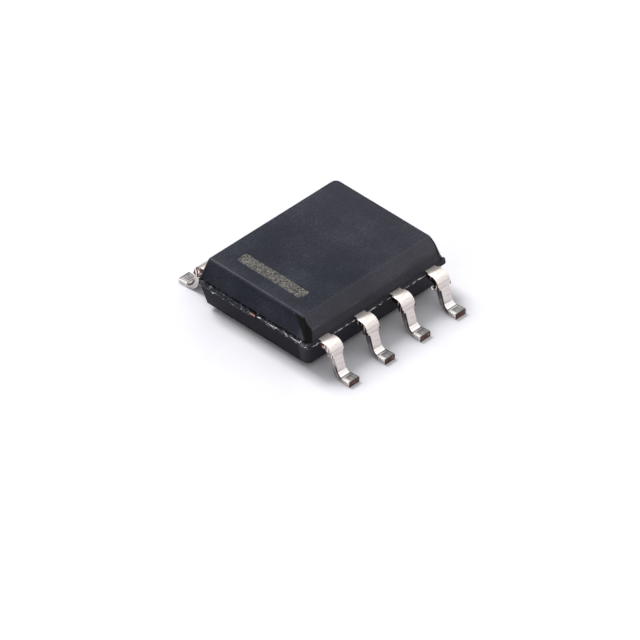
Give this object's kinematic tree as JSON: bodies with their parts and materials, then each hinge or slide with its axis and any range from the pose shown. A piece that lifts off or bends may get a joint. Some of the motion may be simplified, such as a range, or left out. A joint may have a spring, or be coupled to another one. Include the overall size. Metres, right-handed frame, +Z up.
{
  "type": "soic chip",
  "caption": "Small-outline integrated circuit: drafted black plastic body with a bevelled pin-one edge, moulded round a leadframe with gull-wing solder leads on two sides.",
  "frame": {"origin": "on the board plane, under the centre of the body, midway between the lead rows", "axes": "+Z up from the board; X along the lead rows, with the pin-one bar at -X; Y across the rows, with leads one to four at -Y"},
  "size_m": [0.005, 0.006, 0.0016],
  "materials": {
    "moulding_compound": "black filled epoxy, fine matt mould texture",
    "plated_leads": "bright nickel-palladium plating over copper strip",
    "leadframe_copper": "bare stamped copper alloy",
    "die_attach_epoxy": "silver-filled epoxy",
    "silicon": "polished silicon",
    "gold_wire": "bright drawn gold"
  },
  "bodies": {
    "root": {"mould_body": "moulding_compound", "lead_1": "plated_leads", "lead_2": "plated_leads", "lead_3": "plated_leads", "lead_4": "plated_leads", "lead_5": "plated_leads", "lead_6": "plated_leads", "lead_7": "plated_leads", "lead_8": "plated_leads", "die_pad": "leadframe_copper", "die_attach": "die_attach_epoxy", "die": "silicon", "bond_wire_1": "gold_wire", "bond_wire_2": "gold_wire", "bond_wire_3": "gold_wire", "bond_wire_4": "gold_wire", "bond_wire_5": "gold_wire", "bond_wire_6": "gold_wire", "bond_wire_7": "gold_wire", "bond_wire_8": "gold_wire"}
  },
  "joints": []
}
